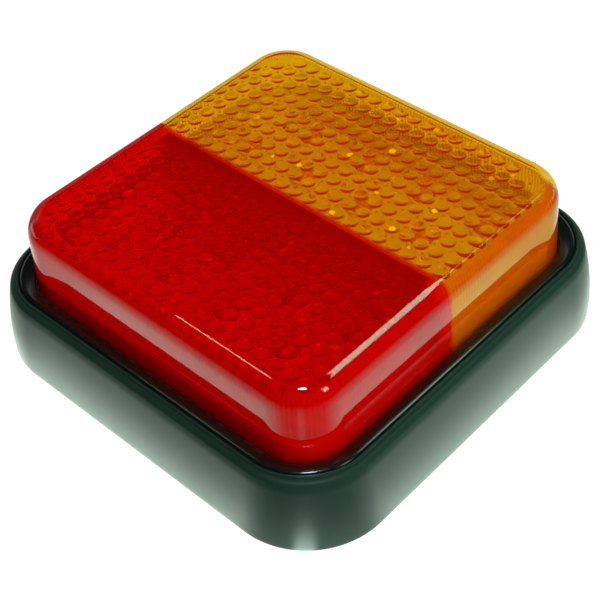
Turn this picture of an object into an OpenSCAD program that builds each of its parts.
// Square two-colour tail lamp: red tail/stop half, amber indicator half.
// Origin: centre of the flat mounting face. +Z: out through the lens.
// -Y: red half. +Y: amber half, and the cable leaves on this side.

/* [Skirt] */
// Width of the skirt at the mounting face
skirt_w = 107; // [106:0.5:110]
// Corner radius of the skirt at the mounting face
skirt_r = 19.7; // [19.2:0.1:20.2]
// Radius of the slow outward curve of the skirt wall
skirt_bow = 68.5; // [60:0.5:90]
// Wall thickness of the skirt
skirt_t = 2.2; // [1.6:0.1:2.3]
// Height of the skirt rim above the mounting face
rim_h = 19.2; // [19:0.1:20.5]

/* [Lens] */
// Width of the lens below its top rounding
lens_w = 88.7; // [88.2:0.1:89]
// Extra width on each side where the lens enters the skirt
lens_draft = 0.65; // [0.3:0.05:0.7]
// Height of the lens top above the mounting face
lens_top = 36.5; // [36:0.5:42]
// Radius of the rounding round the lens top
lens_round = 4.8; // [3:0.1:6]
// Wall thickness of the lens
lens_t = 2.4; // [2:0.1:2.5]

/* [Mounting] */
// Distance between mounting holes along each side
hole_s = 88; // [87.5:0.1:88.4]
// Diameter of the mounting holes
hole_d = 3.8; // [3.2:0.1:4]
// Thickness of the housing floor and flange
floor_t = 2.2; // [1.8:0.1:2.2]

/* [Lights] */
// Distance between LEDs in one row
led_pitch = 18; // [17:0.5:18]
// Distance between rows of LEDs
row_pitch = 12; // [11.5:0.5:12]
// Distance from the centre line to the first row
row_first = 10.5; // [10:0.5:10.5]
// Diameter of an LED body
led_d = 5; // [4:0.1:5]
// Thickness of the circuit board
board_t = 1.6; // [1.2:0.2:1.6]

/* [Fasteners] */
// Shank diameter of the captive lens screws
screw_d = 2.5; // [2:0.1:2.5]
// Radial clearance round a turning screw shank
screw_gap = 0.05; // [0.02:0.01:0.1]

/* [Cable] */
// Diameter of the cable sheath
cable_d = 5; // [4.4:0.1:5]
// Length of sheath that shows past the skirt
cable_out = 7; // [3:1:40]
// Length of the wire tails past the sheath
tail_out = 6; // [3:1:40]

/* [Hidden] */
$fn = 64;

// outlines, as half widths from the centre
skirt_half = skirt_w / 2;               // skirt at z = 0
corner = skirt_half - skirt_r;          // X and Y of every rounded square's corner centres
lens_half = lens_w / 2;                 // lens below its rounding
lens_base = lens_half + lens_draft;     // lens inside the skirt
wall_out = lens_base + 1.5;             // outside of the housing wall
upstand = lens_base - lens_t - 0.25;    // outside of the housing's upstand, inside the lens
wall_in = upstand - 1.95;               // inside of the housing wall and upstand
cup_out = lens_base - lens_t - 0.5;     // outside of the reflector's rim
cup_in = cup_out - 1.2;
pad_out = 39;                           // groove for the foam pad
pad_in = 34.2;

// heights
lens_foot = 9.8;                        // bottom edge of the lens wall
draft_z = 17.5;                         // the draft starts here
seat_z = 8.4;                           // seat of the seal
board_z = 8;                            // underside of the board
board_top = board_z + board_t;
plate_z = 14.6;                         // underside of the reflector plate
plate_top = plate_z + 1.2;
cup_top = 20.6;                         // top of the reflector's rim
pad_t = 1;

// lens screws and the lens ears they hold
post_top = 10.35;
ear_z = 10.4;                           // underside of the ears
ear_top = ear_z + 2;
washer_t = 0.5;
bore_r = screw_d / 2 + screw_gap;
screw_x = lens_base + 2.4;
screw_y = 22;
LENS_SCREWS = [[screw_x, -screw_y], [-screw_x, -screw_y], [screw_x, screw_y], [-screw_x, screw_y]];

// cable, clip and wires
cable_z = 4.3;
cable_r = cable_d / 2;
sheath_start = 35;
sheath_end = skirt_half + cable_out;
wire_end = sheath_end + tail_out;
wire_r = 0.8;
core_r = 0.42;                          // bare wire core
wire_off = 0.95;                        // wire offset from the cable axis
pad_near = 27;                          // Y of the lower wires' board pads
pad_far = 31;                           // Y of the upper wires' board pads
clip_z = 4.4;                           // underside of the clip's feet
clip_t = 1;
clip_x = 5.6;                           // clip screws
clip_y = 37.6;

// [x, y] spots
function corners(x, y) = [for (i = [-x, x], j = [-y, y]) [i, j]];
BOARD_SCREWS = corners(35.3, 35.3);
CLIP_SCREWS = [[-clip_x, clip_y], [clip_x, clip_y]];
WIRE_PADS = [for (x = [-wire_off, wire_off], y = [pad_near, pad_far]) [x, y]];
ROW_COUNTS = [4, 5, 4];                 // LEDs per row, from the centre line out
AMBER_SPOTS = [for (row = [0 : 2], i = [0 : ROW_COUNTS[row] - 1])
  [(i - (ROW_COUNTS[row] - 1) / 2) * led_pitch, row_first + row * row_pitch]];
RED_SPOTS = [for (p = AMBER_SPOTS) [p.x, -p.y]];
LED_SPOTS = concat(RED_SPOTS, AMBER_SPOTS);
LEAD_SPOTS = [for (p = LED_SPOTS, e = [-1.27, 1.27]) [p.x + e, p.y]];

// ---- shared shapes ----
module at(spots, z) {
  for (p = spots) translate([p.x, p.y, z]) children();
}
module rods(spots, z, r, h) {
  at(spots, z) cylinder(r = r, h = h);
}
module block(from, size) {
  translate(from) cube(size);
}
// a block at each lens screw; x_in = its inner face, from the centre
module screw_blocks(x_in, z, size) {
  for (p = LENS_SCREWS)
    block([p.x > 0 ? x_in : -x_in - size.x, p.y - size.y / 2, z], size);
}
// a rod along +Y from y; x and z are offsets from the cable axis
module cable_rod(y, r, h, x = 0, z = 0) {
  translate([x, y, cable_z + z]) rotate([-90, 0, 0]) cylinder(r = r, h = h);
}
// an XZ profile made into a sheet of thickness t, centred on y
module upright(y, t) {
  translate([0, y + t / 2, 0]) rotate([90, 0, 0]) linear_extrude(t) children();
}
module rounded_square(half) {
  union() {
    square([2 * half, 2 * corner], center = true);
    square([2 * corner, 2 * half], center = true);
    for (p = corners(corner, corner)) translate(p) circle(r = half - corner);
  }
}
module plate(half, z0, z1) {
  translate([0, 0, z0]) linear_extrude(z1 - z0) rounded_square(half);
}
module frame_ring(outer, inner, z0, z1) {
  translate([0, 0, z0]) linear_extrude(z1 - z0) difference() {
    rounded_square(outer);
    rounded_square(inner);
  }
}
// carries a profile round the square; x = distance outside the corner centres, y = height
module sweep() {
  for (a = [0 : 90 : 270]) rotate([0, 0, a]) {
    translate([corner, corner, 0]) rotate_extrude(angle = 90) children();
    translate([corner, corner, 0]) rotate([90, 0, 0]) linear_extrude(2 * corner) children();
  }
}
// cross-recessed screw; z = 0 is the underside of the head
module pan_screw(shank_r, head_r, head_h, length) {
  slot_w = 0.44;
  difference() {
    union() {
      translate([0, 0, -length]) cylinder(r = shank_r, h = length + 0.1);
      cylinder(r = head_r, h = head_h * 0.6);
      translate([0, 0, head_h * 0.6]) cylinder(r1 = head_r, r2 = head_r * 0.62, h = head_h * 0.4);
    }
    for (a = [0, 90]) rotate([0, 0, a])
      block([-head_r * 0.5, -slot_w / 2, head_h * 0.35], [head_r, slot_w, head_h]);
  }
}

// ---- skirt ----
module skirt_profile() {
  bow_x = skirt_half - skirt_bow - corner;    // centre of the bow
  shoulder_r = 1.5;
  shoulder_z = rim_h - 2.2;
  bow_edge = bow_x + sqrt(skirt_bow * skirt_bow - shoulder_z * shoulder_z);
  shoulder_x = bow_edge - shoulder_r;
  rim_x = lens_base + 0.55 - corner;          // inner edge of the rim
  difference() {
    union() {
      intersection() {
        translate([bow_x, 0]) circle(r = skirt_bow, $fn = 180);
        translate([rim_x, 0]) square([40, shoulder_z]);
      }
      translate([shoulder_x, shoulder_z]) circle(r = shoulder_r);
      // rim, from its inner edge over the crest to the shoulder
      polygon([
        [rim_x, rim_h - 2.6], [rim_x, rim_h - 1.05], [rim_x + 0.25, rim_h - 0.78],
        [rim_x + 2.25, rim_h - 0.06], [rim_x + 2.55, rim_h], [rim_x + 3, rim_h - 0.4],
        [shoulder_x, shoulder_z + 1.3], [shoulder_x, shoulder_z - 1], [rim_x, shoulder_z - 1]
      ]);
      translate([rim_x + 2.55, rim_h - 0.9]) circle(r = 0.9);
    }
    // fine groove outside the crest
    translate([rim_x + 3.72, rim_h - 0.62]) circle(r = 0.36);
    // hollow behind the wall, less a lip under the rim's inner edge
    difference() {
      intersection() {
        translate([bow_x, 0]) circle(r = skirt_bow - skirt_t, $fn = 180);
        translate([-1, -1]) square([40, rim_h - 2.4]);
      }
      translate([rim_x, rim_h - 3.2]) square([1.6, 3]);
    }
  }
}
module trim_skirt() {
  rib_in = lens_base + 1.95;
  rib_foot = floor_t + 0.05;
  rib_top = rim_h - 4.7;
  notch_r = cable_r + 1;
  notch_y = skirt_half - 8;
  color([0.11, 0.15, 0.14]) difference() {
    union() {
      sweep() skirt_profile();
      // ribs that stand on the housing flange and centre the skirt
      for (a = [0 : 90 : 270], y = [-31, -9.5, 9.5, 31]) rotate([0, 0, a]) upright(y, 1.6)
        polygon([[rib_in, rib_foot], [skirt_half - 1.6, rib_foot], [skirt_half - 1.8, 8],
                 [skirt_half - 2.6, rib_top], [rib_in, rib_top]]);
    }
    // cable notch in the foot of the +Y wall
    cable_rod(notch_y, notch_r, 12);
    block([-notch_r, notch_y, -1], [2 * notch_r, 12, cable_z + 1]);
  }
}

// ---- lens ----
module lens_profile() {
  base_x = lens_base - corner;
  wall_x = lens_half - corner;
  round_x = wall_x - lens_round;
  round_z = lens_top - lens_round;
  difference() {
    union() {
      polygon([[0, lens_foot], [base_x, lens_foot], [base_x, draft_z],
               [wall_x, round_z], [0, round_z]]);
      square([round_x, lens_top]);
      translate([round_x, round_z]) circle(r = lens_round);
    }
    // inside of the lens
    polygon([[-1, lens_foot - 1], [base_x - lens_t, lens_foot - 1], [base_x - lens_t, draft_z],
             [wall_x - lens_t, round_z], [-1, round_z]]);
    translate([-1, 0]) square([round_x + 1, lens_top - lens_t]);
    translate([round_x, round_z]) circle(r = lens_round - lens_t);
    // keeps the profile clear of the sweep axis
    translate([-20, -1]) square([20, 60]);
  }
}
module lens_shell() {
  difference() {
    union() {
      sweep() lens_profile();
      block([-corner, -corner, lens_top - lens_t], [2 * corner, 2 * corner, lens_t]);
      // screw ears
      screw_blocks(lens_base - 1, ear_z, [5.7, 7, ear_top - ear_z]);
    }
    rods(LENS_SCREWS, ear_z - 1, bore_r, ear_top - ear_z + 2);
  }
}
// the part of the lens within 80 mm beyond y
module lens_part(y) {
  intersection() {
    lens_shell();
    block([-80, y, 0], [160, 80, 60]);
  }
}
module lens_red() {
  color([0.78, 0.02, 0.02]) lens_part(-80);
}
module lens_amber() {
  color([0.95, 0.6, 0.05]) lens_part(0);
}
module lens_seal() {
  color([0.2, 0.2, 0.2])
    frame_ring(lens_base - 0.1, lens_base - lens_t + 0.1, seat_z, lens_foot - 0.05);
}

// ---- housing ----
module housing() {
  rib_t = 1.2;
  rib_h = 1.4;
  rib_half = 38.4;
  rib_z = floor_t - 0.1;
  seat_r = cable_r + 1.5;
  seat_y = 39.2;
  color([0.09, 0.09, 0.1]) difference() {
    union() {
      // flange, wall, upstand inside the lens and ledge outside it
      plate(skirt_half - 2.6, 0, floor_t);
      frame_ring(wall_out, wall_in, 0, seat_z);
      frame_ring(upstand, wall_in, seat_z - 0.5, 15);
      frame_ring(wall_out, lens_base + 0.3, seat_z - 0.5, post_top - 0.1);
      // posts for the lens screws
      screw_blocks(lens_base + 0.9, 0, [4, 6.4, post_top]);
      // stand-offs for the board
      rods(BOARD_SCREWS, 0, 3, board_z);
      rods([[0, -12], [0, 12]], 0, 2, board_z);
      // bosses for the cable clip
      rods(CLIP_SCREWS, 0, 1.9, clip_z);
      // stiffening ribs on the floor
      for (x = [-18, 18]) block([x - rib_t / 2, -rib_half, rib_z], [rib_t, 2 * rib_half, rib_h]);
      for (y = [-24, 0, 24]) block([-rib_half, y - rib_t / 2, rib_z], [2 * rib_half, rib_t, rib_h]);
    }
    // mounting holes, outside the lens and under the skirt
    rods(corners(hole_s / 2, hole_s / 2), -1, hole_d / 2, floor_t + 2);
    // screw bores: lens, board and clip
    rods(LENS_SCREWS, 3.2, bore_r, 12);
    rods(BOARD_SCREWS, 3, 1.1, 6);
    rods(CLIP_SCREWS, 1.4, 0.85, 4);
    // groove for the foam pad in the back
    difference() {
      plate(pad_out, -1, pad_t);
      plate(pad_in, -2, pad_t + 1);
    }
    // cable tunnel, grommet seats and trough
    cable_rod(36, cable_r + 0.8, 20);
    cable_rod(seat_y, seat_r, wall_in - seat_y);
    cable_rod(wall_out, seat_r, 1.1);
    block([-3.4, 30, floor_t], [6.8, 8, 4]);
    cable_rod(32, cable_r + 0.1, 8);
  }
}
module mounting_pad() {
  color([0.25, 0.25, 0.26]) frame_ring(pad_out - 0.1, pad_in + 0.1, 0, pad_t);
}

// ---- light divider and reflector ----
module light_divider() {
  divider_y = -1.2;
  divider_t = 1.6;
  foot_x = cup_in - 0.3;
  step_z = cup_top + 0.3;
  side_x = lens_half - lens_t - 0.9;
  // [x, z] up the +X edge; the -X edge mirrors it
  edge = [[foot_x, plate_top], [foot_x, step_z], [side_x, step_z],
          [side_x, lens_top - lens_round - 0.4], [side_x - 2.5, lens_top - lens_t - 0.4]];
  color([0.85, 0.85, 0.83]) {
    upright(divider_y, divider_t)
      polygon(concat(edge, [for (i = [4 : -1 : 0]) [-edge[i].x, edge[i].y]]));
    // cross feet
    for (x = [-28, 0, 28])
      block([x - divider_t / 2, divider_y - 2.4, plate_top], [divider_t, 4.8, 6]);
  }
}
module reflector() {
  led_r = led_d / 2;
  rim_z = plate_z + 0.55;
  peg_h = plate_z - board_top + 0.2;
  color([0.86, 0.86, 0.84]) difference() {
    union() {
      plate(40.1, plate_z, plate_top);
      // rim that stands on the housing's upstand, close behind the lens wall
      plate(cup_out, rim_z, plate_top);
      frame_ring(cup_out, cup_in, rim_z, cup_top);
      // pegs down to the board
      rods(corners(37, 6), board_top, 1.5, peg_h);
      rods(corners(18, 36.6), board_top, 1.3, peg_h);
      // raised collars round the LEDs
      at(LED_SPOTS, plate_z) cylinder(r1 = led_r + 1.5, r2 = led_r + 0.9, h = 2.2);
    }
    // openings for the LEDs and over the board screws
    rods(LED_SPOTS, plate_z - 1, led_r + 0.3, 6);
    rods(BOARD_SCREWS, plate_z - 1, 2, 3);
  }
}

// ---- circuit board and its parts ----
module circuit_board() {
  hole_z = board_z - 1;
  color([0.06, 0.3, 0.16]) difference() {
    plate(39.6, board_z, board_top);
    rods(LEAD_SPOTS, hole_z, 0.4, 4, $fn = 24);
    rods(BOARD_SCREWS, hole_z, 1.35, 4);
    rods(WIRE_PADS, hole_z, 0.5, 4);
  }
}
// flanged body with a domed top
module led() {
  body_h = 5.4;
  cylinder(r = led_d / 2 + 0.4, h = 1);
  cylinder(r = led_d / 2, h = body_h);
  translate([0, 0, body_h]) intersection() {
    sphere(r = led_d / 2);
    block([-5, -5, 0], 10);
  }
}
module red_leds() {
  color([0.9, 0.2, 0.2]) at(RED_SPOTS, board_top + 1) led();
}
module amber_leds() {
  color([1, 0.75, 0.3]) at(AMBER_SPOTS, board_top + 1) led();
}
module led_leads() {
  color([0.8, 0.8, 0.82]) rods(LEAD_SPOTS, board_z - 1.5, 0.25, board_t + 2.5, $fn = 24);
}
module solder_cone(r1, r2, h, hole_r, sides) {
  difference() {
    cylinder(r1 = r1, r2 = r2, h = h, $fn = sides);
    translate([0, 0, -1]) cylinder(r = hole_r, h = 4, $fn = 24);
  }
}
module solder_joints() {
  lead_h = 1.1;
  color([0.75, 0.75, 0.78]) {
    // LED leads, under the board
    at(LEAD_SPOTS, board_z - lead_h)
      solder_cone(r1 = 0.4, r2 = 0.95, h = lead_h, hole_r = 0.26, sides = 24);
    // wires, on top of the board
    at(WIRE_PADS, board_top)
      solder_cone(r1 = 0.86, r2 = 0.6, h = 0.8, hole_r = 0.43, sides = 32);
  }
}
// body between two end caps
module resistor() {
  length = 3.2;
  width = 1.6;
  height = 0.65;
  cap = 0.55;
  block([0.5 - length / 2, 0.02 - width / 2, 0.05], [length - 1, width - 0.04, height - 0.1]);
  for (x = [-length / 2, length / 2 - cap]) block([x, -width / 2, 0], [cap, width, height]);
}
module resistors() {
  color([0.1, 0.1, 0.12])
    at([for (x = [-27, -9, 9, 27], y = [-16.5, 16.5]) [x, y]], board_top) resistor();
}
module diodes() {
  color([0.13, 0.13, 0.13]) at([for (x = [-18, 0, 18]) [x, -28.5]], board_top) {
    block([-2.1, -1.3, 0.1], [4.2, 2.6, 2]);
    for (x = [-2.3, 2.3]) block([x - 0.5, -0.75, 0], [1, 1.5, 0.9]);
  }
}
module capacitor() {
  color([0.75, 0.76, 0.78]) translate([-30, 28.2, board_top]) {
    block([-2.15, -2.15, 0], [4.3, 4.3, 0.9]);
    cylinder(r = 2, h = 4.4);
  }
}
module regulator() {
  color([0.12, 0.12, 0.13]) translate([31, 28, board_top]) {
    // body, wide tab and two legs
    block([-2.5, -2.2, 0.15], [5, 4.4, 2.1]);
    block([-2.2, 1, 0], [4.4, 2.4, 0.5]);
    for (x = [-1.7, 1.7]) block([x - 0.35, -3.5, 0], [0.7, 1.8, 0.5]);
  }
}

// ---- screws ----
module board_screws() {
  color([0.7, 0.7, 0.72]) at(BOARD_SCREWS, board_top)
    pan_screw(shank_r = 1.08, head_r = 2, head_h = 1.3, length = 5.6);
}
module lens_screw(i) {
  color([0.72, 0.72, 0.74]) at([LENS_SCREWS[i]], ear_top + washer_t)
    pan_screw(shank_r = screw_d / 2, head_r = 2, head_h = 1.6, length = 9);
}
module lens_screw_1() lens_screw(0);
module lens_screw_2() lens_screw(1);
module lens_screw_3() lens_screw(2);
module lens_screw_4() lens_screw(3);
module screw_washers() {
  color([0.16, 0.16, 0.17]) at(LENS_SCREWS, ear_top) difference() {
    cylinder(r = 2.1, h = washer_t);
    translate([0, 0, -1]) cylinder(r = bore_r, h = 3);
  }
}

// ---- cable ----
// the upper or lower wire on the -X side; the other two mirror them
// each runs straight in through the sheath, turns up and ends in its board pad
module wire(upper) {
  z_off = upper ? wire_off : -wire_off;
  z = cable_z + z_off;
  y = upper ? pad_far : pad_near;
  bare = upper ? 2.5 : 2;
  bend = 1.7;
  bend_y = y + bend;
  bare_y = (upper ? wire_end : wire_end - 1.2) - bare;
  cable_rod(bend_y, wire_r, bare_y - bend_y, x = -wire_off, z = z_off);
  cable_rod(bare_y - 0.5, core_r, bare + 0.5, x = -wire_off, z = z_off);
  translate([-wire_off, bend_y, z + bend]) rotate([90, 0, 90]) rotate([0, 0, 180])
    rotate_extrude(angle = 90) translate([bend, 0]) circle(r = wire_r);
  rods([[-wire_off, y]], z + bend, wire_r, board_z - 0.4 - z - bend);
  rods([[-wire_off, y]], board_z - 1, core_r, board_t + 1.9);
}
module wire_tail() color([0.42, 0.26, 0.14]) wire(true);
module wire_stop() color([0.75, 0.08, 0.08]) mirror([1, 0, 0]) wire(true);
module wire_indicator() color([0.12, 0.5, 0.2]) wire(false);
module wire_earth() color([0.92, 0.92, 0.9]) mirror([1, 0, 0]) wire(false);
module cable_sheath() {
  color([0.14, 0.14, 0.15]) difference() {
    cable_rod(sheath_start, cable_r, sheath_end - sheath_start);
    for (p = corners(wire_off, wire_off)) cable_rod(30, wire_r + 0.02, 200, x = p.x, z = p.y);
  }
}
module cable_grommet() {
  flange_t = 0.98;
  color([0.07, 0.07, 0.08]) difference() {
    union() {
      // sleeve, inner flange and outer flange
      cable_rod(wall_in - 1, cable_r + 0.78, wall_out - wall_in + 2);
      cable_rod(wall_in - 1, cable_r + 1.1, flange_t);
      cable_rod(wall_out + 0.02, cable_r + 1.45, flange_t);
    }
    cable_rod(wall_in - 2, cable_r + 0.01, 20);
  }
}
module cable_clip() {
  color([0.85, 0.85, 0.82]) difference() {
    union() {
      cable_rod(36.2, cable_r + 0.7, 2.6);
      rods(CLIP_SCREWS, clip_z, 1.7, clip_t);
      block([-clip_x, clip_y - 1.2, clip_z], [2 * clip_x, 2.4, clip_t]);
    }
    cable_rod(35, cable_r + 0.02, 6);
    // all below the feet
    block([-8, 34, -1], [16, 6, clip_z + 1]);
    rods(CLIP_SCREWS, 3, 0.85, 4);
  }
}
module clip_screws() {
  color([0.7, 0.7, 0.72]) at(CLIP_SCREWS, clip_z + clip_t)
    pan_screw(shank_r = 0.8, head_r = 1.5, head_h = 1.1, length = 3.8);
}

trim_skirt();
housing();
lens_red();
lens_amber();
lens_seal();
light_divider();
reflector();
circuit_board();
red_leds();
amber_leds();
led_leads();
solder_joints();
resistors();
diodes();
capacitor();
regulator();
board_screws();
lens_screw_1();
lens_screw_2();
lens_screw_3();
lens_screw_4();
screw_washers();
mounting_pad();
cable_sheath();
wire_tail();
wire_stop();
wire_indicator();
wire_earth();
cable_grommet();
cable_clip();
clip_screws();
